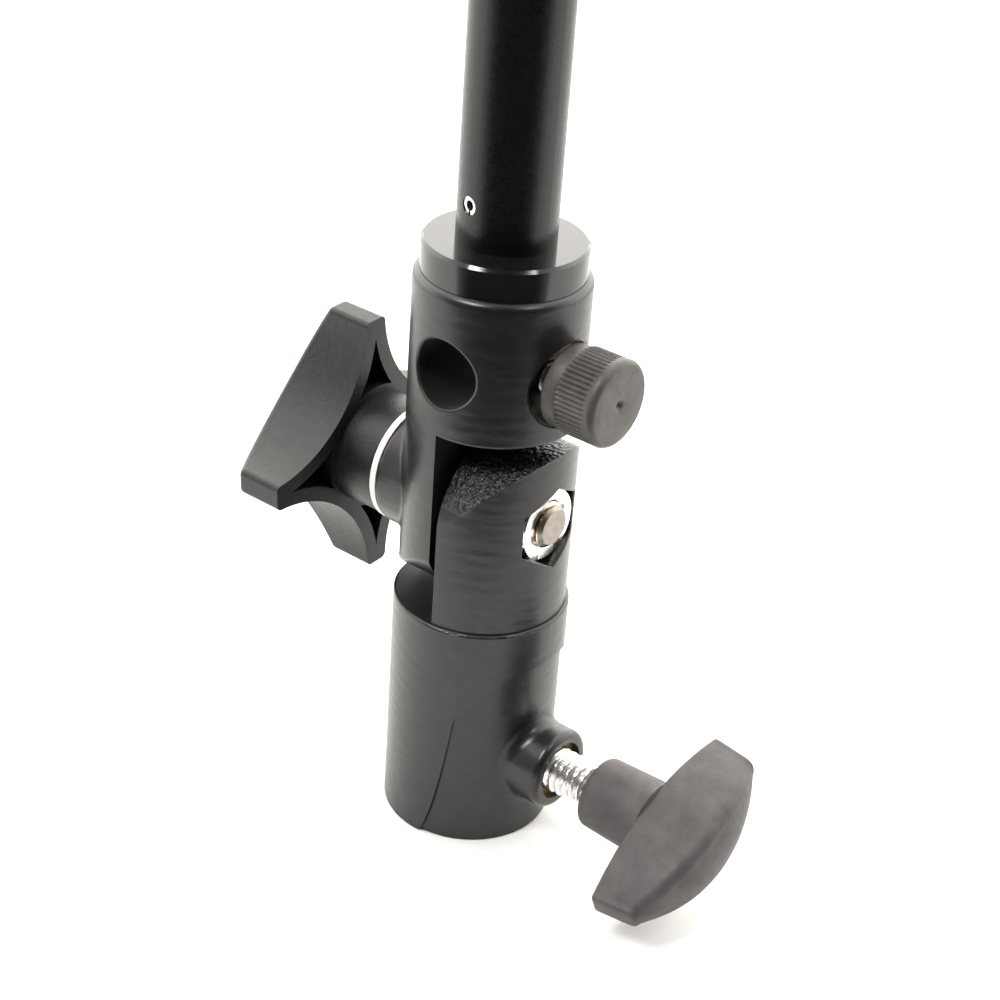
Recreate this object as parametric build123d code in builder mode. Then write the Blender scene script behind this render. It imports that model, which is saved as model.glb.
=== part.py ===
"""Umbrella swivel bracket: a half-lap swivel between a stand socket and a top tube.

Millimetres. +Z is the common axis of both castings, and z = 0 is the bottom face of the socket.
+X is the pivot axis, towards the socket's clamp screw. The umbrella bore runs along Y.
"""
import os
from math import cos, radians, sin

from build123d import *

os.makedirs("parts", exist_ok=True)

# Socket casting
body_radius = 15.0
body_height = 43.0
shoulder_round = 0.5
socket_radius = 8.1
socket_depth = 37.0
panel_depth = 0.6
panel_corner_z = 25.0
panel_top_z = 35.0
panel_corner_y = 13.6
panel_arc_y = 9.3
panel_arc_z = 32.4
boss_radius = 7.2
boss_face_x = 20.0
boss_flare = 2.4
boss_round = 1.2
foot = 1.0
clamp_z = 14.7

# Half-lap swivel
pivot_z = 61.0
tongue_radius = 14.4
tongue_top_z = 74.6
tongue_face_x = 1.1
ear_face_x = -0.2
ear_bottom_radius = 15.8
ear_bottom_round = 1.2
ear_boss_radius = 10.6
ear_boss_x = -15.9
ear_boss_flare = 1.5
ear_boss_round = 0.8
disc_radius = 11.5
running_gap = 0.05
loose_gap = 0.2

# Top casting
top_radius = 14.3
top_floor_z = 77.5
top_z = 102.2
top_rim = 1.4
floor_round = 0.6
bore_radius = 5.7
bore_z = 87.1
bore_tilt = 6.0
bore_round = 0.5
thumb_z = 87.1
recess_radius = 7.0
recess_floor_x = 10.9
recess_round = 0.5

# Pivot screw, nut and knob
bolt_radius = 3.95
bolt_end_x = 14.0
bolt_chamfer = 0.9
head_flats = 12.7
head_height = 5.3
head_x = -35.0
nut_flats = 12.7
nut_thickness = 6.7
nut_face_x = 12.7
pocket_flats = 12.8
pocket_round = 0.25
nut_crown_taper = -60
washer_radius = 10.4
washer_thickness = 1.2
hub_radius = 10.1
hub_round = 0.6
knob_back_x = -25.0
knob_reach = 24.2
knob_tip_half_width = 2.3
knob_waist_radius = 12.5
knob_dome_radius = 45.0
knob_crown_x = -40.8
knob_arm_count = 4
knob_turn = 3.0
knob_rib = 2.6
knob_pocket_depth = 6.0
knob_hub_wall = 1.2
knob_round = 1.0
cap_radius = 7.6

# Socket clamp screw and T handle
stud_radius = 3.95
insert_radius = 5.2
insert_inner_x = 12.0
clamp_tip_x = 8.4
clamp_tip_length = 3.0
clamp_tip_radius = 3.25
tip_chamfer = 0.5
stud_chamfer = 0.8
insert_recess = 1.2
handle_hub_radius = 6.3
handle_hub_taper = -2
hub_overlap = 3.0
hub_near_x = 28.0
hub_near_round = 0.9
bar_near_x = 40.8
bar_far_x = 53.5
bar_end_near_x = 40.2
bar_end_far_x = 48.4
bar_near_half = 17.8
bar_far_half = 16.0
bar_half_depth = 6.3
bar_end_half_depth = 1.5
bar_crown = 1.8
bar_turn = 23.3
bar_near_round = 0.5

# Umbrella thumbscrew
thumb_screw_radius = 3.12
thumb_tip_x = 5.9
thumb_tip_length = 2.5
thumb_tip_radius = 2.5
thumb_chamfer = 0.5
thumb_end_wall = 2.0
collar_near_x = 13.7
collar_far_x = 17.4
thumb_far_x = 24.2
collar_radius = 6.7
grip_radius = 7.3
grip_round = 0.6

# Spigot and tube
flange_radius = 13.3
flange_top_z = 107.4
flange_chamfer = 0.5
shank_radius = 6.0
shank_floor_z = 95.4
plug_radius = 6.4
plug_top_z = 124.0
tube_radius = 8.0
tube_top_z = 185.0
pin_z = 114.2
pin_radius = 1.5
pin_turn = -11.6
pin_hole_radius = 0.8
pin_slot = 0.4
pin_inset = 0.3
plug_height = 2.0
plug_shank = 12.0
plug_round = 1.0
grub_radius = 2.4
grub_z = 98.8
grub_length = 5.0
grub_socket_flats = 2.5
grub_socket_depth = 2.5


def facing_x(x, z):
    """Plane across the X axis at x: its sketch x is row Y and its sketch y is row Z, from height z."""
    return Plane(origin=(x, 0, z), x_dir=(0, 1, 0), z_dir=(1, 0, 0))


def along_x(x_from, x_to, z, radius):
    """Round bar along X between two stations, added to or cut from the open part."""
    with BuildPart(mode=Mode.PRIVATE) as bar:
        with BuildSketch(facing_x(x_from, z)):
            Circle(radius)
        extrude(amount=x_to - x_from)
    return bar.part


def save(piece, name):
    """Label a finished piece and write its STEP file."""
    piece.part.label = name
    export_step(piece.part, f"parts/{name}.step")


# --- Socket casting: round body, stepped side panel, screw boss and half-lap tongue ---
with BuildPart() as side_panel:
    with BuildSketch(facing_x(0, 0)):
        with BuildLine():
            Line((-body_radius, -foot), (-panel_corner_y, panel_corner_z))
            ThreePointArc((-panel_corner_y, panel_corner_z), (-panel_arc_y, panel_arc_z),
                          (0, panel_top_z))
            ThreePointArc((0, panel_top_z), (panel_arc_y, panel_arc_z),
                          (panel_corner_y, panel_corner_z))
            Polyline((panel_corner_y, panel_corner_z), (body_radius, -foot), (-body_radius, -foot))
        make_face()
    extrude(amount=body_radius + foot)
    with BuildSketch(Plane.XY.offset(-foot)):
        Circle(2 * body_radius)
        Circle(body_radius - panel_depth, mode=Mode.SUBTRACT)
    extrude(amount=body_height, mode=Mode.INTERSECT)

with BuildPart() as lower_body:
    with BuildSketch(facing_x(tongue_face_x, 0)):
        with BuildLine():
            buried_z = body_height - foot
            Polyline((-tongue_radius, pivot_z), (-tongue_radius, buried_z),
                     (tongue_radius, buried_z), (tongue_radius, pivot_z))
            ThreePointArc((tongue_radius, pivot_z), (0, tongue_top_z), (-tongue_radius, pivot_z))
        make_face()
    extrude(amount=body_radius)
    with BuildSketch(Plane.XY.offset(buried_z - foot)):
        Circle(tongue_radius)
    extrude(amount=tongue_top_z, mode=Mode.INTERSECT)
    with BuildSketch(Plane.XY):
        Circle(body_radius)
    extrude(amount=body_height)
    shoulder = lower_body.edges().filter_by_position(Axis.Z, body_height, body_height)
    fillet(shoulder.filter_by(GeomType.CIRCLE).sort_by(SortBy.RADIUS)[-1], shoulder_round)
    add(side_panel.part, mode=Mode.SUBTRACT)
    add(along_x(0, boss_face_x, clamp_z, boss_radius))
    fillet(lower_body.edges(Select.NEW), boss_flare)
    fillet(lower_body.edges().group_by(Axis.X)[-1], boss_round)
    with BuildSketch(Plane.XY):
        Circle(socket_radius)
    extrude(amount=socket_depth, mode=Mode.SUBTRACT)
    add(along_x(0, insert_inner_x, clamp_z, stud_radius + running_gap), mode=Mode.SUBTRACT)
    add(along_x(insert_inner_x, boss_face_x, clamp_z, insert_radius), mode=Mode.SUBTRACT)
    add(along_x(0, body_radius, pivot_z, bolt_radius + loose_gap), mode=Mode.SUBTRACT)
    with BuildSketch(facing_x(nut_face_x - nut_thickness, pivot_z)):
        RegularPolygon(pocket_flats / 2, 6, major_radius=False, rotation=30)
    extrude(amount=body_radius, mode=Mode.SUBTRACT)
    fillet(lower_body.edges(Select.NEW), pocket_round)
save(lower_body, "lower_body")

with BuildPart() as clamp_insert:
    with BuildSketch(facing_x(insert_inner_x, clamp_z)):
        Circle(insert_radius)
        Circle(stud_radius + running_gap, mode=Mode.SUBTRACT)
    extrude(amount=boss_face_x - insert_recess - insert_inner_x)
save(clamp_insert, "clamp_insert")

with BuildPart() as clamp_tip:
    add(along_x(clamp_tip_x, clamp_tip_x + clamp_tip_length, clamp_z, clamp_tip_radius))
    chamfer(clamp_tip.edges().sort_by(Axis.X)[0], tip_chamfer)
save(clamp_tip, "clamp_tip")

with BuildPart() as clamp_stud:
    add(along_x(clamp_tip_x + clamp_tip_length, bar_near_x, clamp_z, stud_radius))
    chamfer(clamp_stud.edges().sort_by(Axis.X)[0], stud_chamfer)
save(clamp_stud, "clamp_stud")

# --- T handle: round hub flowing into a wing, as deep as the hub in the middle and thin at its tips ---
bar_along = (0, cos(radians(bar_turn)), sin(radians(bar_turn)))
bar_up = (0, -sin(radians(bar_turn)), cos(radians(bar_turn)))
wing_x = bar_end_near_x - foot
with BuildPart() as clamp_handle:
    with BuildSketch(Plane(origin=(0, 0, clamp_z), x_dir=bar_along, z_dir=bar_up)):
        with BuildLine():
            ThreePointArc((-bar_near_half, -bar_end_near_x), (0, -bar_near_x),
                          (bar_near_half, -bar_end_near_x))
            Line((bar_near_half, -bar_end_near_x), (bar_far_half, -bar_end_far_x))
            ThreePointArc((bar_far_half, -bar_end_far_x), (0, -bar_far_x),
                          (-bar_far_half, -bar_end_far_x))
            Line((-bar_far_half, -bar_end_far_x), (-bar_near_half, -bar_end_near_x))
        make_face()
    extrude(amount=bar_half_depth, both=True)
    with BuildSketch(Plane(origin=(wing_x, 0, clamp_z), x_dir=bar_along, z_dir=(1, 0, 0))):
        with BuildLine():
            ThreePointArc((-bar_near_half, bar_end_half_depth), (0, bar_half_depth),
                          (bar_near_half, bar_end_half_depth))
            Line((bar_near_half, bar_end_half_depth), (bar_near_half, -bar_end_half_depth))
            ThreePointArc((bar_near_half, -bar_end_half_depth), (0, -bar_half_depth),
                          (-bar_near_half, -bar_end_half_depth))
            Line((-bar_near_half, -bar_end_half_depth), (-bar_near_half, bar_end_half_depth))
        make_face()
    extrude(amount=bar_far_x - wing_x, mode=Mode.INTERSECT)
    with BuildSketch(Plane(origin=(0, 0, clamp_z), x_dir=(1, 0, 0), z_dir=bar_along)):
        crown_x = bar_far_x - bar_crown
        with BuildLine():
            Polyline((crown_x, -bar_half_depth), (wing_x, -bar_half_depth),
                     (wing_x, bar_half_depth), (crown_x, bar_half_depth))
            ThreePointArc((crown_x, bar_half_depth), (bar_far_x, 0), (crown_x, -bar_half_depth))
        make_face()
    extrude(amount=bar_near_half, both=True, mode=Mode.INTERSECT)
    fillet([e for e in clamp_handle.edges() if e.center().X < bar_near_x + foot], bar_near_round)
    with BuildSketch(facing_x(hub_near_x, clamp_z)):
        Circle(handle_hub_radius)
    extrude(amount=bar_near_x + hub_overlap - hub_near_x, taper=handle_hub_taper)
    fillet(clamp_handle.edges().group_by(Axis.X)[0], hub_near_round)
    add(along_x(hub_near_x, bar_near_x, clamp_z, stud_radius), mode=Mode.SUBTRACT)
save(clamp_handle, "clamp_handle")

# --- Swivel: friction disc, nut, washer and screw on the pivot axis ---
with BuildPart() as friction_disc:
    with BuildSketch(facing_x(ear_face_x + running_gap, pivot_z)):
        Circle(disc_radius)
        Circle(bolt_radius + loose_gap, mode=Mode.SUBTRACT)
    extrude(amount=tongue_face_x - ear_face_x - running_gap)
save(friction_disc, "friction_disc")

with BuildPart() as pivot_nut:
    with BuildSketch(facing_x(nut_face_x - nut_thickness, pivot_z)):
        RegularPolygon(nut_flats / 2, 6, major_radius=False, rotation=30)
    extrude(amount=nut_thickness)
    with BuildSketch(facing_x(nut_face_x, pivot_z)):
        Circle(nut_flats / 2 - loose_gap)
    extrude(amount=-nut_thickness, taper=nut_crown_taper, mode=Mode.INTERSECT)
    nut_hole = along_x(nut_face_x - nut_thickness, nut_face_x, pivot_z, bolt_radius + running_gap)
    add(nut_hole, mode=Mode.SUBTRACT)
save(pivot_nut, "pivot_nut")

washer_x = ear_boss_x - washer_thickness
with BuildPart() as knob_washer:
    with BuildSketch(facing_x(washer_x, pivot_z)):
        Circle(washer_radius)
        Circle(bolt_radius + loose_gap, mode=Mode.SUBTRACT)
    extrude(amount=washer_thickness - running_gap)
save(knob_washer, "knob_washer")

with BuildPart() as pivot_bolt:
    with BuildSketch(facing_x(head_x, pivot_z)):
        RegularPolygon(head_flats / 2, 6, major_radius=False)
    extrude(amount=head_height)
    add(along_x(head_x, bolt_end_x, pivot_z, bolt_radius))
    chamfer(pivot_bolt.edges().sort_by(Axis.X)[-1], bolt_chamfer)
save(pivot_bolt, "pivot_bolt")

# --- Four-armed knob: domed crossed arms, hollow behind, on a round hub ---
def knob_profile(inset):
    """Sketch the crossed arms in from their outline by inset, waisted between neighbours."""
    with BuildSketch(mode=Mode.PRIVATE) as arms:
        with BuildLine():
            waist = knob_waist_radius * cos(radians(45))
            for arm in range(knob_arm_count):
                turn = knob_turn + 360 / knob_arm_count * arm
                near_tip = Vector(knob_reach, -knob_tip_half_width).rotate(Axis.Z, turn)
                far_tip = Vector(knob_reach, knob_tip_half_width).rotate(Axis.Z, turn)
                middle = Vector(waist, waist).rotate(Axis.Z, turn)
                next_tip = Vector(knob_tip_half_width, knob_reach).rotate(Axis.Z, turn)
                Line(near_tip, far_tip)
                ThreePointArc(far_tip, middle, next_tip)
        make_face()
        if inset:
            offset(amount=-inset, kind=Kind.INTERSECTION)
    return arms.sketch


with BuildPart() as star_knob:
    with BuildSketch(facing_x(knob_crown_x, pivot_z)):
        add(knob_profile(0))
    extrude(amount=knob_back_x - knob_crown_x)
    dome_x = knob_crown_x + knob_dome_radius
    with Locations((dome_x, 0, pivot_z)):
        Sphere(knob_dome_radius, mode=Mode.INTERSECT)
    back_edges = star_knob.edges().group_by(Axis.X)[-1]
    fillet(star_knob.edges() - back_edges, knob_round)
    with BuildSketch(facing_x(knob_back_x, pivot_z)):
        add(knob_profile(knob_rib))
        Circle(hub_radius + knob_hub_wall, mode=Mode.SUBTRACT)
    extrude(amount=-knob_pocket_depth, mode=Mode.SUBTRACT)
    add(along_x(knob_back_x - foot, washer_x, pivot_z, hub_radius))
    fillet(star_knob.edges().sort_by(Axis.X)[-1], hub_round)
    with BuildSketch(facing_x(head_x, pivot_z)):
        RegularPolygon(head_flats / 2, 6, major_radius=False)
    extrude(amount=head_height, mode=Mode.SUBTRACT)
    add(along_x(head_x, washer_x, pivot_z, bolt_radius), mode=Mode.SUBTRACT)
    add(along_x(knob_crown_x, head_x, pivot_z, cap_radius), mode=Mode.SUBTRACT)
save(star_knob, "star_knob")

with BuildPart() as knob_cap:
    add(along_x(knob_crown_x, head_x, pivot_z, cap_radius))
    with Locations((dome_x, 0, pivot_z)):
        Sphere(knob_dome_radius, mode=Mode.INTERSECT)
save(knob_cap, "knob_cap")

# --- Top casting: round body with a half-lap ear, tilted umbrella bore and screw recess ---
with BuildPart() as upper_body:
    with BuildSketch(facing_x(ear_face_x, 0)):
        ear_z = pivot_z - (ear_bottom_radius**2 - top_radius**2) ** 0.5
        with BuildLine():
            buried_z = top_floor_z + foot
            Polyline((-top_radius, ear_z), (-top_radius, buried_z),
                     (top_radius, buried_z), (top_radius, ear_z))
            ThreePointArc((top_radius, ear_z), (0, pivot_z - ear_bottom_radius),
                          (-top_radius, ear_z))
        make_face()
    extrude(amount=-top_radius)
    with BuildSketch(Plane.XY):
        Circle(top_radius)
    extrude(amount=top_z, mode=Mode.INTERSECT)
    ear_foot = upper_body.edges().filter_by_position(Axis.Z, 0, pivot_z).sort_by(Axis.X)[0]
    fillet(ear_foot, ear_bottom_round)
    with BuildSketch(Plane.XY.offset(top_floor_z)):
        Circle(top_radius)
    extrude(amount=top_z - top_floor_z)
    fillet(upper_body.edges().group_by(Axis.Z)[-1], top_rim)
    floor_rim = upper_body.edges().filter_by_position(Axis.Z, top_floor_z, top_floor_z)
    fillet(floor_rim.sort_by(Axis.X)[-1], floor_round)
    add(along_x(ear_boss_x, ear_face_x, pivot_z, ear_boss_radius))
    boss_foot = upper_body.edges(Select.NEW)
    fillet(boss_foot.filter_by_position(Axis.X, ear_boss_x, ear_face_x - foot), ear_boss_flare)
    fillet(upper_body.edges().group_by(Axis.X)[0], ear_boss_round)
    add(along_x(ear_boss_x, ear_face_x, pivot_z, bolt_radius + loose_gap), mode=Mode.SUBTRACT)
    bore_axis = (0, -cos(radians(bore_tilt)), sin(radians(bore_tilt)))
    with BuildSketch(Plane(origin=(0, 0, bore_z), x_dir=(1, 0, 0), z_dir=bore_axis)):
        Circle(bore_radius)
    extrude(amount=2 * top_radius, both=True, mode=Mode.SUBTRACT)
    fillet(upper_body.edges(Select.NEW), bore_round)
    add(along_x(recess_floor_x, top_radius + foot, thumb_z, recess_radius), mode=Mode.SUBTRACT)
    fillet(upper_body.edges(Select.NEW), recess_round)
    screw_hole_radius = thumb_screw_radius + running_gap
    add(along_x(0, top_radius, thumb_z, screw_hole_radius), mode=Mode.SUBTRACT)
    with BuildSketch(Plane.XY.offset(shank_floor_z)):
        Circle(shank_radius)
    extrude(amount=top_z - shank_floor_z, mode=Mode.SUBTRACT)
    with BuildSketch(Plane(origin=(0, top_radius, grub_z), x_dir=(1, 0, 0), z_dir=(0, -1, 0))):
        Circle(grub_radius)
    extrude(amount=top_radius - foot, mode=Mode.SUBTRACT)
save(upper_body, "upper_body")

# --- Umbrella thumbscrew: screw, soft tip and knurled knob ---
with BuildPart() as thumb_tip:
    add(along_x(thumb_tip_x, thumb_tip_x + thumb_tip_length, thumb_z, thumb_tip_radius))
    chamfer(thumb_tip.edges().sort_by(Axis.X)[0], tip_chamfer)
save(thumb_tip, "thumb_tip")

with BuildPart() as thumb_screw:
    add(along_x(thumb_tip_x + thumb_tip_length, thumb_far_x - thumb_end_wall, thumb_z,
                thumb_screw_radius))
    chamfer(thumb_screw.edges().sort_by(Axis.X)[0], thumb_chamfer)
save(thumb_screw, "thumb_screw")

with BuildPart() as thumb_knob:
    add(along_x(collar_near_x, collar_far_x, thumb_z, collar_radius))
    chamfer(thumb_knob.edges().sort_by(Axis.X)[0], thumb_chamfer)
    add(along_x(collar_far_x, thumb_far_x, thumb_z, grip_radius))
    fillet(thumb_knob.edges().sort_by(Axis.X)[-1], grip_round)
    screw_seat = along_x(collar_near_x, thumb_far_x - thumb_end_wall, thumb_z, thumb_screw_radius)
    add(screw_seat, mode=Mode.SUBTRACT)
save(thumb_knob, "thumb_knob")

# --- Spigot, its grub screw, and the pinned tube ---
pin_plane = Plane(
    origin=(0, 0, pin_z),
    x_dir=(cos(radians(pin_turn)), sin(radians(pin_turn)), 0),
    z_dir=(sin(radians(pin_turn)), -cos(radians(pin_turn)), 0),
)
with BuildPart() as spigot:
    with BuildSketch(Plane.XY.offset(top_z)):
        Circle(flange_radius)
    extrude(amount=flange_top_z - top_z)
    chamfer(spigot.edges().group_by(Axis.Z)[-1], flange_chamfer)
    with BuildSketch(Plane.XY.offset(shank_floor_z)):
        Circle(shank_radius)
    extrude(amount=top_z - shank_floor_z)
    with BuildSketch(Plane.XY.offset(flange_top_z)):
        Circle(plug_radius)
    extrude(amount=plug_top_z - flange_top_z)
    with BuildSketch(pin_plane):
        Circle(pin_radius)
    extrude(amount=tube_radius, both=True, mode=Mode.SUBTRACT)
save(spigot, "spigot")

with BuildPart() as tube:
    with BuildSketch(Plane.XY.offset(flange_top_z)):
        Circle(tube_radius)
        Circle(plug_radius, mode=Mode.SUBTRACT)
    extrude(amount=tube_top_z - flange_top_z)
    with BuildSketch(pin_plane):
        Circle(pin_radius)
    extrude(amount=tube_radius, both=True, mode=Mode.SUBTRACT)
save(tube, "tube")

with BuildPart() as roll_pin:
    with BuildSketch(pin_plane):
        Circle(pin_radius)
        Circle(pin_hole_radius, mode=Mode.SUBTRACT)
        with Locations((0, -pin_radius)):
            Rectangle(pin_slot, 2 * pin_hole_radius, mode=Mode.SUBTRACT)
    extrude(amount=tube_radius - pin_inset, both=True)
save(roll_pin, "roll_pin")

with BuildPart() as tube_plug:
    with BuildSketch(Plane.XY.offset(tube_top_z)):
        Circle(tube_radius)
    extrude(amount=plug_height)
    fillet(tube_plug.edges().group_by(Axis.Z)[-1], plug_round)
    with BuildSketch(Plane.XY.offset(tube_top_z - plug_shank)):
        Circle(plug_radius)
    extrude(amount=plug_shank)
save(tube_plug, "tube_plug")

grub_far_y = shank_radius + grub_length
with BuildPart() as spigot_grub:
    with BuildSketch(Plane(origin=(0, shank_radius, grub_z), x_dir=(1, 0, 0), z_dir=(0, 1, 0))):
        Circle(grub_radius)
    extrude(amount=grub_length)
    with BuildSketch(Plane(origin=(0, grub_far_y, grub_z), x_dir=(1, 0, 0), z_dir=(0, 1, 0))):
        RegularPolygon(grub_socket_flats / 2, 6, major_radius=False)
    extrude(amount=-grub_socket_depth, mode=Mode.SUBTRACT)
save(spigot_grub, "spigot_grub")
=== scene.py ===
"""Umbrella swivel bracket: materials, detailed pieces, light and camera around the CAD frame."""
from math import cos, pi, radians, sin, tan

import bpy
from mathutils import Matrix, Vector


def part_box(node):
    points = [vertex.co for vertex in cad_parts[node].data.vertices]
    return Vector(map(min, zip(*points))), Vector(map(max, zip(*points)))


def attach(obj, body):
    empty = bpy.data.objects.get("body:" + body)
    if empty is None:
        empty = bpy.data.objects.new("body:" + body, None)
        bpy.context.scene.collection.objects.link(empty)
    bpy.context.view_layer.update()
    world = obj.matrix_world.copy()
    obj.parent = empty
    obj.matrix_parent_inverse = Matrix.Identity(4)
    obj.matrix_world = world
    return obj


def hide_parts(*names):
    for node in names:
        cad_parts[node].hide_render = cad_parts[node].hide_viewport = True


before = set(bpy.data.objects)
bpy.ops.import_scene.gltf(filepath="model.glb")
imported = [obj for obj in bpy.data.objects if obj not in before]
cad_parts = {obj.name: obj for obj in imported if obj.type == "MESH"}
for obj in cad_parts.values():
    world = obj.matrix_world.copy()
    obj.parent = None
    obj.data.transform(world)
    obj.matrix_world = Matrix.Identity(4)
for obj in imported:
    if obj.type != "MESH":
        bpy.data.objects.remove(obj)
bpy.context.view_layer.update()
MM = 0.001


def extent(node):
    """A node's lowest and highest corners in millimetres."""
    low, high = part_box(node)
    return low / MM, high / MM


# --- Shader nodes ---
MIX_SOCKETS = {"RGBA": (6, 7, 2), "FLOAT": (2, 3, 0)}


def new_material(name, **sockets):
    """A Principled material with constants on its own sockets: returns it, its tree and its shader."""
    material = bpy.data.materials.new(name)
    material.use_nodes = True
    tree = material.node_tree
    shader = tree.nodes["Principled BSDF"]
    for key, value in sockets.items():
        shader.inputs[key.replace("_", " ")].default_value = value
    return material, tree, shader


def object_coords(tree, stretch=(1, 1, 1)):
    """The piece's own coordinates in metres, stretched for a directional pattern."""
    coords = tree.nodes.new("ShaderNodeTexCoord")
    mapping = tree.nodes.new("ShaderNodeMapping")
    mapping.inputs["Scale"].default_value = stretch
    tree.links.new(coords.outputs["Object"], mapping.inputs["Vector"])
    return mapping.outputs["Vector"]


def noise(tree, vector, scale, detail):
    """Noise value at a scale in waves per metre."""
    node = tree.nodes.new("ShaderNodeTexNoise")
    node.inputs["Scale"].default_value = scale
    node.inputs["Detail"].default_value = detail
    node.inputs["Roughness"].default_value = 0.55
    tree.links.new(vector, node.inputs["Vector"])
    return node.outputs["Fac"]


def ramp(tree, value, low, dark, high, light):
    """Colour from dark at the low value to light at the high one."""
    node = tree.nodes.new("ShaderNodeValToRGB")
    first, second = node.color_ramp.elements
    first.position, first.color = low, dark
    second.position, second.color = high, light
    tree.links.new(value, node.inputs["Fac"])
    return node.outputs["Color"]


def level(tree, value, low, high, out_low, out_high, curve="LINEAR"):
    """A value mapped from one range to another."""
    node = tree.nodes.new("ShaderNodeMapRange")
    node.interpolation_type = curve
    ranges = {"From Min": low, "From Max": high, "To Min": out_low, "To Max": out_high}
    for key, number in ranges.items():
        node.inputs[key].default_value = number
    tree.links.new(value, node.inputs["Value"])
    return node.outputs["Result"]


def bump(tree, height, distance, under=None):
    """A bump of the given height in metres over another."""
    node = tree.nodes.new("ShaderNodeBump")
    node.inputs["Distance"].default_value = distance
    node.inputs["Strength"].default_value = 1.0
    tree.links.new(height, node.inputs["Height"])
    if under is not None:
        tree.links.new(under, node.inputs["Normal"])
    return node.outputs["Normal"]


def calculate(tree, kind, operation, *values):
    """A math node of a kind, its inputs fed by sockets and constants in turn: returns its outputs."""
    node = tree.nodes.new(kind)
    node.operation = operation
    for socket, value in zip(node.inputs, values):
        if isinstance(value, bpy.types.NodeSocket):
            tree.links.new(value, socket)
        else:
            socket.default_value = value
    return node.outputs


def blended(tree, share, first, second, kind):
    """A share of the way from a socket's value to a constant."""
    node = tree.nodes.new("ShaderNodeMix")
    node.data_type = kind
    from_socket, to_socket, result = MIX_SOCKETS[kind]
    node.inputs[to_socket].default_value = second
    tree.links.new(share, node.inputs[0])
    tree.links.new(first, node.inputs[from_socket])
    return node.outputs[result]


def axis_distance(tree, vector, point, axis):
    """Distance in metres from a line through a point in millimetres."""
    offset = calculate(tree, "ShaderNodeVectorMath", "SUBTRACT", vector, Vector(point) * MM)[0]
    across = calculate(tree, "ShaderNodeVectorMath", "CROSS_PRODUCT", offset, Vector(axis).normalized())[0]
    return calculate(tree, "ShaderNodeVectorMath", "LENGTH", across)["Value"]


# --- Materials ---
PATCH_LOW, PATCH_HIGH = 0.3, 0.7
PATCH_DETAIL, FINE_DETAIL, FINE_SCALE = 5.0, 4.0, 3.1


def grey(value, warm=0.0):
    """An opaque grey, warmer where warm is above 0."""
    return (value * (1 + warm), value, value * (1 - warm), 1)


def mottled(name, dark, light, rough, scale, bumps, stretch=(1, 1, 1), **sockets):
    """Colour between dark and light and roughness over a range, in patches, under layers of bump.

    scale is the patches' waves per metre, and a bump is (waves per metre, height in metres, detail).
    """
    material, tree, shader = new_material(name, **sockets)
    vector = object_coords(tree)
    patches = noise(tree, vector, scale, PATCH_DETAIL)
    colour = ramp(tree, patches, PATCH_LOW, dark, PATCH_HIGH, light)
    tree.links.new(colour, shader.inputs["Base Color"])
    fine = noise(tree, vector, scale * FINE_SCALE, FINE_DETAIL)
    tree.links.new(level(tree, fine, PATCH_LOW, PATCH_HIGH, *rough), shader.inputs["Roughness"])
    normal = None
    stretched = object_coords(tree, stretch)
    for waves, height, detail in bumps:
        normal = bump(tree, noise(tree, stretched, waves, detail), height, normal)
    tree.links.new(normal, shader.inputs["Normal"])
    return material


def casting_paint(name):
    """Glossy black paint over a slightly wavy casting."""
    return mottled(name, dark=grey(0.006, 0.03), light=grey(0.012, 0.05), rough=(0.28, 0.34), scale=300,
                   bumps=[(300, 0.00006, 0.5), (700, 0.000005, 0.5)], stretch=(0.7, 0.7, 2.4),
                   Specular_IOR_Level=0.5)


flange_black = mottled(
    "black_anodised_flange", dark=grey(0.004), light=grey(0.008), rough=(0.08, 0.14), scale=300,
    bumps=[(1500, 0.000004, 2.0)], stretch=(0.15, 0.15, 3.0), Specular_IOR_Level=0.62)
tube_black = mottled(
    "black_satin_tube", dark=grey(0.0025), light=grey(0.005, 0.03), rough=(0.24, 0.32), scale=240,
    bumps=[(1800, 0.000006, 3.0)], stretch=(1.0, 1.0, 0.12), Specular_IOR_Level=0.36)
knob_plastic = mottled(
    "black_grained_plastic", dark=grey(0.008, 0.05), light=grey(0.014, 0.06), rough=(0.38, 0.46),
    scale=420, bumps=[(2400, 0.00005, 2.0), (700, 0.00004, 2.0)], Specular_IOR_Level=0.4)
handle_plastic = mottled(
    "dusty_handle_plastic", dark=(0.044, 0.038, 0.039, 1), light=(0.076, 0.067, 0.068, 1),
    rough=(0.50, 0.62), scale=230, bumps=[(1900, 0.00003, 4.0), (350, 0.00006, 2.0)],
    Specular_IOR_Level=0.4)
thumb_plastic = mottled(
    "dusty_thumb_plastic", dark=(0.042, 0.037, 0.034, 1), light=(0.080, 0.071, 0.065, 1),
    rough=(0.40, 0.52), scale=330, bumps=[(2400, 0.00003, 4.0)], Specular_IOR_Level=0.45)
nylon = mottled(
    "white_nylon", dark=grey(0.74, 0.01), light=grey(0.82, 0.01), rough=(0.34, 0.42), scale=400,
    bumps=[(900, 0.00002, 2.0)], Subsurface_Weight=0.1, Subsurface_Scale=0.001)
fibre = mottled(
    "dark_friction_fibre", dark=grey(0.016, 0.1), light=grey(0.05, 0.2), rough=(0.70, 0.85), scale=900,
    bumps=[(2600, 0.00012, 4.0)])
plug_plastic = mottled(
    "black_moulded_plastic", dark=grey(0.014), light=grey(0.022), rough=(0.36, 0.44), scale=500,
    bumps=[(1500, 0.00003, 3.0)])
grub_steel = mottled(
    "black_oxide_steel", dark=grey(0.02), light=grey(0.05, 0.05), rough=(0.32, 0.45), scale=700,
    bumps=[(2200, 0.00002, 3.0)], Metallic=0.6)
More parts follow.
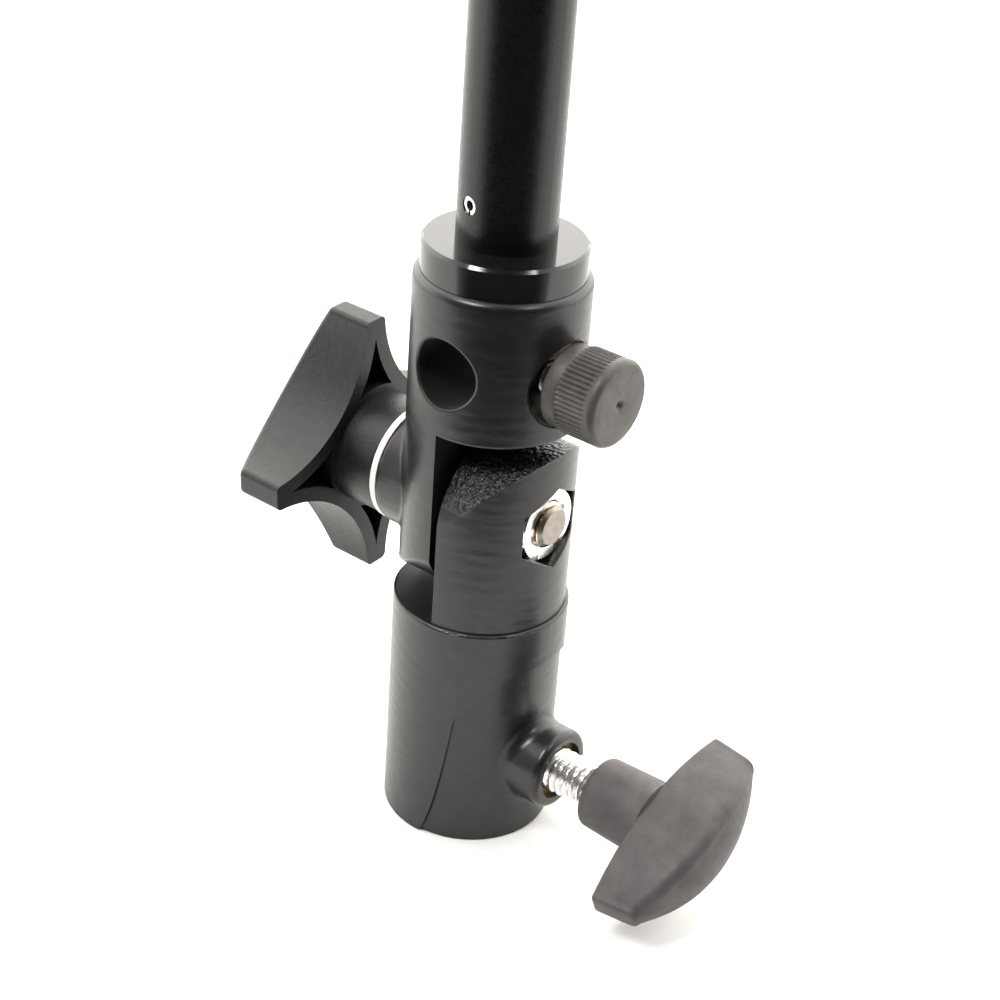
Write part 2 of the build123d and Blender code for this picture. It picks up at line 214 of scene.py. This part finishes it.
brass = mottled(
    "aged_brass", dark=(0.06, 0.036, 0.010, 1), light=(0.15, 0.095, 0.03, 1), rough=(0.34, 0.50),
    scale=600, bumps=[(1800, 0.00002, 3.0)], Metallic=1.0)
zinc = mottled(
    "bright_zinc", dark=grey(0.72), light=grey(0.92), rough=(0.20, 0.34), scale=480,
    bumps=[(1600, 0.00002, 3.0)], Metallic=1.0)
warm_steel = mottled(
    "warm_bolt_steel", dark=(0.22, 0.195, 0.165, 1), light=(0.30, 0.27, 0.235, 1), rough=(0.26, 0.38),
    scale=700, bumps=[(2000, 0.00002, 3.0)], Metallic=0.9)
steel = mottled(
    "bright_steel", dark=grey(0.60, 0.04), light=grey(0.80, 0.04), rough=(0.20, 0.32), scale=520,
    bumps=[(2000, 0.00001, 3.0)], Metallic=1.0)

# Painted shade: inside the umbrella bore the paint is made nearly black to stand in for the shade there,
# and its roughness is made dull.
BORE_SHADE_EDGE, BORE_SHADE_FADE = 0.05, 0.25
BORE_SHADE_COLOUR, BORE_ROUGHNESS = (0.001, 0.001, 0.001, 1), 1.0
GRAIN_WAVES, GRAIN_DETAIL, GRAIN_HEIGHT = 1100, 2.0, 0.0009
GRAIN_OUT, GRAIN_IN, GRAIN_FADE = 0.1, 0.3, 1.5


def paint_bore_shade(material, point, axis, radius):
    """Paint shade inside a bore: the casting's paint turns nearly black and dull there."""
    tree = material.node_tree
    shader = tree.nodes["Principled BSDF"]
    distance = axis_distance(tree, object_coords(tree), point, axis)
    shade_inside = level(tree, distance, (radius + BORE_SHADE_EDGE) * MM, (radius + BORE_SHADE_FADE) * MM, 1.0, 0.0)
    for name, value, kind in (("Base Color", BORE_SHADE_COLOUR, "RGBA"), ("Roughness", BORE_ROUGHNESS, "FLOAT")):
        socket = shader.inputs[name]
        painted = socket.links[0].from_socket
        tree.links.new(blended(tree, shade_inside, painted, value, kind), socket)


def roughen_face(material, point, axis, radius, from_z):
    """Leave as-cast grain on the face at a radius round an axis, above a height."""
    tree = material.node_tree
    shader = tree.nodes["Principled BSDF"]
    vector = object_coords(tree)
    distance = axis_distance(tree, vector, point, axis)
    outer = level(tree, distance, (radius - GRAIN_IN) * MM, (radius - GRAIN_OUT) * MM, 0.0, 1.0)
    split = tree.nodes.new("ShaderNodeSeparateXYZ")
    tree.links.new(vector, split.inputs[0])
    high = level(tree, split.outputs["Z"], (from_z - GRAIN_FADE) * MM, (from_z + GRAIN_FADE) * MM,
                 0.0, 1.0)
    masked = calculate(tree, "ShaderNodeMath", "MULTIPLY", outer, high)[0]
    texture = noise(tree, vector, GRAIN_WAVES, GRAIN_DETAIL)
    grain = calculate(tree, "ShaderNodeMath", "MULTIPLY", texture, masked)[0]
    under = shader.inputs["Normal"].links[0].from_socket
    tree.links.new(bump(tree, grain, GRAIN_HEIGHT, under), shader.inputs["Normal"])


def thread_metal_with_root_shade(name, crest, root_shade, axis_z, root_radius, crest_radius, roughness):
    """Bright metal with painted shade in its thread roots, nearer the axis along X at height axis_z."""
    material, tree, shader = new_material(name, Metallic=0.95, Roughness=roughness)
    vector = object_coords(tree)
    distance = axis_distance(tree, vector, (0, 0, axis_z), (1, 0, 0))
    depth = level(tree, distance, root_radius * MM, crest_radius * MM, 0.0, 1.0)
    patches = noise(tree, vector, 1400, 4.0)
    unshaded_share = calculate(tree, "ShaderNodeMath", "MULTIPLY_ADD", patches, 0.35, depth)[0]
    # Painted shade: the colour runs from the dark root colour in the thread grooves to the crest colour, in
    # random patches.
    tree.links.new(ramp(tree, unshaded_share, 0.2, root_shade, 0.75, crest), shader.inputs["Base Color"])
    tree.links.new(bump(tree, patches, 0.00001), shader.inputs["Normal"])
    return material


# --- Mesh helpers: forms turned about an axis along X, in millimetres ---
SMOOTH_ANGLE, WIDE_SMOOTH_ANGLE = 32, 50


def piece(name, verts, faces, material, body, node, smooth_angle=SMOOTH_ANGLE):
    """A piece from vertices in millimetres, riding on its body in place of a CAD node."""
    mesh = bpy.data.meshes.new(name)
    mesh.from_pydata([Vector(v) * MM for v in verts], [], faces)
    mesh.validate()
    mesh.materials.append(material)
    for polygon in mesh.polygons:
        polygon.use_smooth = True
    mesh.set_sharp_from_angle(angle=radians(smooth_angle))
    obj = bpy.data.objects.new(name, mesh)
    bpy.context.scene.collection.objects.link(obj)
    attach(obj, body)
    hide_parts(node)
    return obj


def stations(low, high, count):
    """Evenly spaced values from low to high."""
    return [low + (high - low) * i / (count - 1) for i in range(count)]


def skin(ring_count, steps):
    """Quads between neighbouring closed rings of vertices."""
    return [(i * steps + k, i * steps + (k + 1) % steps,
             (i + 1) * steps + (k + 1) % steps, (i + 1) * steps + k)
            for i in range(ring_count - 1) for k in range(steps)]


def end_caps(ring_count, steps):
    """Faces that close the first and the last ring."""
    last = (ring_count - 1) * steps
    return [tuple(reversed(range(steps))), tuple(range(last, last + steps))]


def turned(rows, z, steps, radius_at=None):
    """Vertices and side faces about the X axis at height z.

    rows are stations (x, r), and radius_at(x, r, angle) shapes each of them.
    """
    verts = []
    for x, r in rows:
        for k in range(steps):
            angle = 2 * pi * k / steps
            radius = radius_at(x, r, angle) if radius_at else r
            verts.append((x, radius * cos(angle), z + radius * sin(angle)))
    return verts, skin(len(rows), steps)


def clamped(value):
    """A value held between 0 and 1."""
    return min(1.0, max(0.0, value))


THREAD_ROOT_FLAT, THREAD_FLANK = 0.08, 0.80


def thread(pitch, depth, bevel, bevel_near=None, bevel_far=None, plain_to=None):
    """Radius rule of a right-hand screw thread, bevelled at an end and plain up to a station."""
    def rule(x, r, angle):
        phase = (x / pitch + angle / (2 * pi)) % 1.0
        wave = abs(2 * phase - 1)
        groove = depth * (1 - clamped((wave - THREAD_ROOT_FLAT) / THREAD_FLANK))
        if plain_to is not None:
            groove *= clamped((x - plain_to) / pitch)
        radius = r - groove
        for end in (bevel_near, bevel_far):
            if end is not None:
                radius = min(radius, r - bevel + abs(x - end))
        return radius
    return rule


def hexagon(half_flats, angle):
    """Radius at an angle of a hexagon whose flats face up and down."""
    sector = angle % (pi / 3) - pi / 6
    return half_flats / cos(sector)


def quarter_round(x, r, radius, start, end, way, count):
    """Stations of a rounded edge centred at (x, r), from start to end degrees, facing way along X."""
    return [(x + way * radius * sin(radians(a)), r + radius * cos(radians(a)))
            for a in stations(start, end, count)]


# --- Clamp stud ---
PITCH, THUMB_PITCH = 1.41111, 1.27
THREAD_DEPTH, STUD_BEVEL = 0.62, 0.8
STUD_STATIONS, STUD_STEPS = 215, 64
stud_low, stud_high = extent("clamp_stud")
stud_r = (stud_high.y - stud_low.y) / 2
stud_z = (stud_high.z + stud_low.z) / 2
rows = [(x, stud_r) for x in stations(stud_low.x, stud_high.x, STUD_STATIONS)]
verts, faces = turned(rows, stud_z, STUD_STEPS, thread(PITCH, THREAD_DEPTH, STUD_BEVEL, stud_low.x))
# Painted shade: the stud's thread roots take the darker root colour.
stud_metal_root_shade = thread_metal_with_root_shade("zinc_thread_root_shade", crest=grey(0.90, 0.01), root_shade=grey(0.62, 0.03), axis_z=stud_z,
                          root_radius=stud_r - THREAD_DEPTH, crest_radius=stud_r, roughness=0.26)
piece("clamp_stud_thread", verts, faces + end_caps(len(rows), STUD_STEPS), stud_metal_root_shade,
      "clamp_screw", "clamp_stud")

# --- Pivot bolt: hexagon head in the knob, shank, and the threaded end in the nut ---
HEAD_HEIGHT, BOLT_BEVEL, BOLT_FACE_DEPTH = 5.3, 0.9, 0.65
SHANK_STATIONS, BOLT_THREAD_STATIONS, BOLT_STEPS = 12, 130, 72
THREAD_BEFORE_NUT, STATION_GAP, STEP_WIDTH = 6, 0.5, 0.001
bolt_low, bolt_high = extent("pivot_bolt")
nut_low, nut_high = extent("pivot_nut")
bolt_z = (bolt_high.z + bolt_low.z) / 2
bolt_r = stud_r
head_half = (bolt_high.z - bolt_low.z) / 2
head_end = bolt_low.x + HEAD_HEIGHT
thread_start = nut_low.x - THREAD_BEFORE_NUT
shank_rule = thread(PITCH, THREAD_DEPTH, BOLT_BEVEL, bevel_far=bolt_high.x, plain_to=thread_start)


def bolt_rule(x, r, angle):
    """Hexagon on the head's stations, and shank and thread on the others."""
    return hexagon(r, angle) if r > bolt_r + 1 else shank_rule(x, r, angle)


rows = [(bolt_low.x, head_half), (head_end, head_half), (head_end + STEP_WIDTH, bolt_r)]
shank_from, shank_to = head_end + STATION_GAP, thread_start - STATION_GAP
rows += [(x, bolt_r) for x in stations(shank_from, shank_to, SHANK_STATIONS)]
rows += [(x, bolt_r) for x in stations(thread_start, bolt_high.x, BOLT_THREAD_STATIONS)]
verts, faces = turned(rows, bolt_z, BOLT_STEPS, bolt_rule)
# Painted shade: the bolt's thread roots take the dark brown root colour.
bolt_metal_root_shade = thread_metal_with_root_shade("warm_bolt_thread_root_shade", crest=(0.74, 0.66, 0.55, 1), root_shade=(0.12, 0.07, 0.03, 1),
                          axis_z=bolt_z, root_radius=bolt_r - 0.55, crest_radius=bolt_r - 0.1,
                          roughness=0.22)
bolt = piece("pivot_bolt_thread", verts, faces + end_caps(len(rows), BOLT_STEPS), bolt_metal_root_shade,
             "knob", "pivot_bolt")
bolt.data.materials.append(warm_steel)
for polygon in bolt.data.polygons:
    if polygon.center.x > (bolt_high.x - BOLT_FACE_DEPTH) * MM:
        polygon.material_index = 1

# --- Pivot nut: its flats face up and down, where the CAD nut's points do ---
NUT_STATIONS, NUT_STEPS = 14, 96
CROWN_INSET, CROWN_ANGLE, NUT_WALL = 0.2, 60, 1.2
NUT_BEVEL, NUT_BEVEL_DEPTH = 0.55, 0.45
nut_half = (nut_high.y - nut_low.y) / 2
nut_bore = bolt_r + 0.05


def nut_rule(x, r, angle):
    """Hexagon whose corners are cut by the crown's cone near the face, and a round bore."""
    if r <= nut_bore + NUT_WALL:
        return r
    crown = nut_half - CROWN_INSET + (nut_high.x - x) * tan(radians(CROWN_ANGLE))
    return min(hexagon(r, angle), crown)


rows = [(nut_low.x, nut_bore), (nut_low.x, nut_half)]
rows += [(x, nut_half) for x in stations(nut_low.x + STATION_GAP, nut_high.x, NUT_STATIONS)]
rows += [(nut_high.x, nut_bore + NUT_BEVEL), (nut_high.x - NUT_BEVEL_DEPTH, nut_bore)]
verts, faces = turned(rows, bolt_z, NUT_STEPS, nut_rule)
last = (len(rows) - 1) * NUT_STEPS
faces += [(last + k, last + (k + 1) % NUT_STEPS, (k + 1) % NUT_STEPS, k) for k in range(NUT_STEPS)]
piece("pivot_nut_crowned", verts, faces, zinc, "socket", "pivot_nut")

# --- Thumbscrew ---
THUMB_THREAD_DEPTH, THUMB_BEVEL = 0.55, 0.5
THUMB_STATIONS, THUMB_STEPS = 120, 56
screw_low, screw_high = extent("thumb_screw")
screw_r = (screw_high.y - screw_low.y) / 2
thumb_z = (screw_high.z + screw_low.z) / 2
rows = [(x, screw_r) for x in stations(screw_low.x, screw_high.x, THUMB_STATIONS)]
verts, faces = turned(rows, thumb_z, THUMB_STEPS,
                      thread(THUMB_PITCH, THUMB_THREAD_DEPTH, THUMB_BEVEL, screw_low.x))
# Painted shade: the thumbscrew's thread roots take the darker root colour.
screw_metal_root_shade = thread_metal_with_root_shade("thumb_thread_root_shade", crest=grey(0.82, 0.01), root_shade=grey(0.4, 0.05), axis_z=thumb_z,
                           root_radius=screw_r - 0.5, crest_radius=screw_r, roughness=0.28)
piece("thumb_screw_thread", verts, faces + end_caps(len(rows), THUMB_STEPS), screw_metal_root_shade,
      "thumb", "thumb_screw")

# --- Thumb knob: smooth collar, knurled grip and end band with a moulding dimple ---
RIDGES, RIDGE_DEPTH, RIDGE_STEPS, RIDGE_FLATNESS = 54, 0.36, 8, 0.8
COLLAR_LENGTH, END_BAND, KNURL_RAMP, KNURL_START, FACE_RADIUS = 2.9, 1.7, 0.5, 0.1, 3
COLLAR_ROUND, BAND_ROUND = 0.7, 1.15
knob_low, knob_high = extent("thumb_knob")
grip_r = (knob_high.y - knob_low.y) / 2
collar_r = grip_r - 0.4
collar_end, knurl_end = knob_low.x + COLLAR_LENGTH, knob_high.x - END_BAND


def knurl(x, r, angle):
    """Radius with ridges between the collar and the end band."""
    if r <= FACE_RADIUS:
        return r
    share = clamped(min((x - collar_end - KNURL_START) / KNURL_RAMP, (knurl_end - x) / KNURL_RAMP))
    wave = (0.5 - 0.5 * cos(RIDGES * angle)) ** RIDGE_FLATNESS
    return r - RIDGE_DEPTH * share * (1 - wave)


rows = [(knob_low.x + 1.2, screw_r + 0.01), (knob_low.x, screw_r + 0.5), (knob_low.x, collar_r - 1.2)]
rows += quarter_round(knob_low.x + COLLAR_ROUND, collar_r - COLLAR_ROUND, COLLAR_ROUND, 90, 0, -1, 6)[1:]
rows += [(collar_end - 0.5, collar_r), (collar_end - 0.25, collar_r - 0.05),
         (collar_end, collar_r - 0.12), (collar_end + 0.12, grip_r - 0.3)]
rows += [(x, grip_r - 0.04) for x in stations(collar_end + 0.25, knurl_end + 0.1, 20)]
rows += quarter_round(knob_high.x - BAND_ROUND, grip_r - BAND_ROUND, BAND_ROUND, 0, 80, 1, 9)
rows += [(knob_high.x - depth, r) for depth, r in ((0.02, 4.4), (0.06, 2.8), (0.05, 1.3), (0.16, 0.75),
                                                   (0.85, 0.32), (0.95, 0.02))]
knob_steps = RIDGES * RIDGE_STEPS
verts, faces = turned(rows, thumb_z, knob_steps, knurl)
piece("thumb_knob_knurled", verts, faces + end_caps(len(rows), knob_steps), thumb_plastic,
      "thumb", "thumb_knob", WIDE_SMOOTH_ANGLE)

# --- T handle: a smooth wing, thick in the middle and thin at its tips, on a tapered round hub ---
WING_TURN, WING_NEAR, WING_NEAR_SPREAD, WING_CROWN_DROP = 23.3, 39.7, 0.3, 4.9
WING_HALF, WING_SLANT, WING_DEPTH, WING_TIP_DEPTH, WING_BULGE = 18.4, 1.5, 6.2, 2.1, 1.9
FAR_ROUND, NEAR_ROUND, TIP_ROUND = 2.1, 0.5, 0.8
FAR_ROUND_LIMIT, NEAR_ROUND_LIMIT = 0.8, 0.6
NEAR_CORNER_POINTS, FAR_CORNER_POINTS, FACE_POINTS = 5, 8, 13
WING_STATIONS, TIP_STATIONS, TIP_SWEEP = 41, 6, 78
HUB_RADIUS, HUB_ROUND, HUB_TAPER, HUB_STEPS = 6.3, 0.9, 2, 64
handle_low, handle_high = extent("clamp_handle")
along_y, along_z = cos(radians(WING_TURN)), sin(radians(WING_TURN))


def corner(x, d, radius, start, end, count):
    """Points of a rounded corner of the wing's section, from start to end degrees."""
    return [(x + radius * cos(radians(a)), d + radius * sin(radians(a)))
            for a in stations(start, end, count)]


def wing_section(t, inset):
    """Section of the wing at a share t of its half length, drawn in by inset: points (x, depth)."""
    near = WING_NEAR + WING_NEAR_SPREAD * t * t + inset
    far = handle_high.x - WING_CROWN_DROP * t * t - inset
    deep = WING_DEPTH - (WING_DEPTH - WING_TIP_DEPTH) * t * t - inset
    far_round = min(FAR_ROUND, FAR_ROUND_LIMIT * deep)
    near_round = min(NEAR_ROUND, NEAR_ROUND_LIMIT * deep)
    flat = deep - far_round

    def face(d):
        return far - WING_BULGE * (d / WING_DEPTH) ** 2

    edge = face(flat) - far_round
    inner, side = near + near_round, deep - near_round
    points = corner(inner, -side, near_round, 180, 270, NEAR_CORNER_POINTS)
    points += corner(edge, -flat, far_round, 270, 360, FAR_CORNER_POINTS)
    points += [(face(d), d) for d in stations(-flat, flat, FACE_POINTS)[1:-1]]
    points += corner(edge, flat, far_round, 0, 90, FAR_CORNER_POINTS)
    points += corner(inner, side, near_round, 90, 180, NEAR_CORNER_POINTS)
    return points


def wing_ring(t, inset):
    """The section at t placed on the handle, its ends slanting inwards towards the far side."""
    way_round = (1 - (1 - inset / TIP_ROUND) ** 2) ** 0.5
    reach = WING_HALF - TIP_ROUND * (1 - way_round)
    ring = []
    for x, d in wing_section(t, inset):
        s = t * (reach - WING_SLANT * (x - WING_NEAR) / (handle_high.x - WING_NEAR))
        ring.append((x, s * along_y - d * along_z, stud_z + s * along_z + d * along_y))
    return ring


tip_insets = [TIP_ROUND * (1 - cos(radians(a))) for a in stations(0, TIP_SWEEP, TIP_STATIONS)][1:]
rings = [wing_ring(-1, inset) for inset in reversed(tip_insets)]
rings += [wing_ring(t, 0) for t in stations(-1, 1, WING_STATIONS)]
rings += [wing_ring(1, inset) for inset in tip_insets]
verts = [point for ring in rings for point in ring]
faces = skin(len(rings), len(rings[0])) + end_caps(len(rings), len(rings[0]))

hub_near = handle_low.x
hub_slope = tan(radians(HUB_TAPER))
rows = [(hub_near + 1.5, stud_r), (hub_near, stud_r + 0.05), (hub_near, HUB_RADIUS - 1.1)]
rows += quarter_round(hub_near + HUB_ROUND, HUB_RADIUS - HUB_ROUND, HUB_ROUND, 90, 0, -1, 6)[1:]
rows += [(x, HUB_RADIUS + (x - hub_near) * hub_slope) for x in stations(hub_near + 2, WING_NEAR - 0.6, 8)]
rows += [(WING_NEAR - 0.2, HUB_RADIUS + 0.5), (WING_NEAR + 0.1, HUB_RADIUS + 0.7),
         (WING_NEAR + 1.5, HUB_RADIUS - 1.5)]
hub_verts, hub_faces = turned(rows, stud_z, HUB_STEPS)
hub_faces += end_caps(len(rows), HUB_STEPS)
faces += [tuple(len(verts) + k for k in face) for face in hub_faces]
piece("clamp_handle_wing", verts + hub_verts, faces, handle_plastic,
      "clamp_screw", "clamp_handle", WIDE_SMOOTH_ANGLE)

# --- Materials and edge rounding of the CAD nodes that stay ---
BORE_TILT, BORE_RADIUS, TONGUE_RADIUS, GRAIN_FROM_Z = 6.0, 5.7, 14.42, 66.5
EDGE_ROUNDING = {"lower_body": 0.00035, "upper_body": 0.00018}
EDGE_SEGMENTS, EDGE_ANGLE = 2, 38
bore_axis = (0, -cos(radians(BORE_TILT)), sin(radians(BORE_TILT)))
top_paint_and_bore_shade, socket_paint = casting_paint("black_top_casting_bore_shade"), casting_paint("black_socket_casting")
# Painted shade inside the umbrella bore.
paint_bore_shade(top_paint_and_bore_shade, (0, 0, thumb_z), bore_axis, BORE_RADIUS)
tongue_axis_z = extent("lower_body")[1].z - TONGUE_RADIUS
roughen_face(socket_paint, (0, 0, tongue_axis_z), (1, 0, 0), TONGUE_RADIUS, GRAIN_FROM_Z)
node_materials = {
    "lower_body": socket_paint,
    "upper_body": top_paint_and_bore_shade,
    "clamp_insert": brass,
    "clamp_tip": brass,
    "thumb_tip": brass,
    "friction_disc": fibre,
    "knob_washer": nylon,
    "star_knob": knob_plastic,
    "knob_cap": plug_plastic,
    "spigot": flange_black,
    "tube": tube_black,
    "roll_pin": steel,
    "tube_plug": plug_plastic,
    "spigot_grub": grub_steel,
}
for node, material in node_materials.items():
    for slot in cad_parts[node].material_slots:
        slot.material = material
for node, width in EDGE_ROUNDING.items():
    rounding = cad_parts[node].modifiers.new("edge_rounding", "BEVEL")
    rounding.width = width
    rounding.segments = EDGE_SEGMENTS
    rounding.limit_method = "ANGLE"
    rounding.angle_limit = radians(EDGE_ANGLE)
    rounding.harden_normals = True

# --- Floor: it ends a short way in front, so that the black metal reflects the dark there ---
VIEW_AZIMUTH, VIEW_ELEVATION, VIEW_ROLL = 37.0, 29.94, 4.25
VIEW_DISTANCE, VIEW_SIDE, VIEW_HEIGHT, FOCAL_SHARE = 337.61, 2.05, 60.51, 2.03059
SENSOR_WIDTH, NEAREST = 36.0, 0.01
FLOOR_FRONT, FLOOR_BACK, FLOOR_HALF, FLOOR_GAP = 0.115, 3.0, 3.0, 0.0002


def direction(azimuth, elevation):
    """Unit vector from the object towards a light or camera: azimuth 0 is -Y and 90 is +X."""
    a, e = radians(azimuth), radians(elevation)
    return Vector((sin(a) * cos(e), -cos(a) * cos(e), sin(e)))


near_way, side_way = direction(VIEW_AZIMUTH, 0), direction(VIEW_AZIMUTH + 90, 0)
corners = ((FLOOR_FRONT, -FLOOR_HALF), (FLOOR_FRONT, FLOOR_HALF),
           (-FLOOR_BACK, FLOOR_HALF), (-FLOOR_BACK, -FLOOR_HALF))
floor_points = [near_way * near + side_way * side + Vector((0, 0, -FLOOR_GAP)) for near, side in corners]
floor_mesh = bpy.data.meshes.new("studio_floor")
floor_mesh.from_pydata(floor_points, [], [(0, 1, 2, 3)])
floor = bpy.data.objects.new("studio_floor", floor_mesh)
bpy.context.scene.collection.objects.link(floor)
floor_material, floor_tree, floor_shader = new_material("pale_floor", Roughness=0.9, Specular_IOR_Level=0.1)
floor_patches = noise(floor_tree, object_coords(floor_tree), 6.0, 3.0)
floor_colour = ramp(floor_tree, floor_patches, 0.2, (0.80, 0.80, 0.79, 1), 0.8, (0.82, 0.82, 0.81, 1))
floor_tree.links.new(floor_colour, floor_shader.inputs["Base Color"])
floor_mesh.materials.append(floor_material)

# --- World: dim in front of the object, bright behind it, and an even white backdrop ---
FRONT_LIGHT, BACK_LIGHT, BACKDROP = 0.07, 4.2, 1.6
FRONT_EDGE, BACK_EDGE, GLOW_ELEVATION = 0.60, -0.30, 10
world = bpy.data.worlds.new("studio")
bpy.context.scene.world = world
world.use_nodes = True
tree = world.node_tree
background = tree.nodes["Background"]
coords = tree.nodes.new("ShaderNodeTexCoord")
facing = calculate(tree, "ShaderNodeVectorMath", "DOT_PRODUCT", coords.outputs["Generated"],
                   direction(VIEW_AZIMUTH, GLOW_ELEVATION))["Value"]
glow = level(tree, facing, FRONT_EDGE, BACK_EDGE, FRONT_LIGHT, BACK_LIGHT, "SMOOTHSTEP")
path = tree.nodes.new("ShaderNodeLightPath")
strength = blended(tree, path.outputs["Is Camera Ray"], glow, BACKDROP, "FLOAT")
tree.links.new(strength, background.inputs["Strength"])
background.inputs["Color"].default_value = (1.0, 0.97, 0.93, 1)

# --- Softboxes ---
BOX_DISTANCE, BOX_AIM = 0.9, Vector((0, 0, 0.07))


def softbox(name, azimuth, elevation, size, radiance):
    """A square area light facing the object."""
    data = bpy.data.lights.new(name, "AREA")
    data.shape = "SQUARE"
    data.size = size
    data.energy = radiance * pi * size * size
    data.color = (1.0, 0.985, 0.96)
    obj = bpy.data.objects.new(name, data)
    away = direction(azimuth, elevation)
    obj.location = BOX_AIM + away * BOX_DISTANCE
    obj.rotation_mode = "QUATERNION"
    obj.rotation_quaternion = away.to_track_quat("Z", "Y")
    bpy.context.scene.collection.objects.link(obj)


softbox("left_softbox", azimuth=-14, elevation=54, size=0.26, radiance=27.0)
softbox("right_softbox", azimuth=88, elevation=54, size=0.22, radiance=12.0)

# --- Camera ---
back = direction(VIEW_AZIMUTH, VIEW_ELEVATION)
right = Vector((cos(radians(VIEW_AZIMUTH)), sin(radians(VIEW_AZIMUTH)), 0))
up = back.cross(right)
roll = radians(VIEW_ROLL)
screen_right = cos(roll) * right + sin(roll) * up
screen_up = -sin(roll) * right + cos(roll) * up
camera_data = bpy.data.cameras.new("camera")
camera_data.sensor_width = SENSOR_WIDTH
camera_data.lens = SENSOR_WIDTH * FOCAL_SHARE
camera_data.clip_start = NEAREST
camera = bpy.data.objects.new("camera", camera_data)
target = Vector((0, 0, VIEW_HEIGHT)) + right * VIEW_SIDE
placed = Matrix((screen_right, screen_up, back)).transposed().to_4x4()
placed.translation = (target + back * VIEW_DISTANCE) * MM
camera.matrix_world = placed
bpy.context.scene.collection.objects.link(camera)
bpy.context.scene.camera = camera
bpy.context.scene.view_settings.view_transform = "Standard"
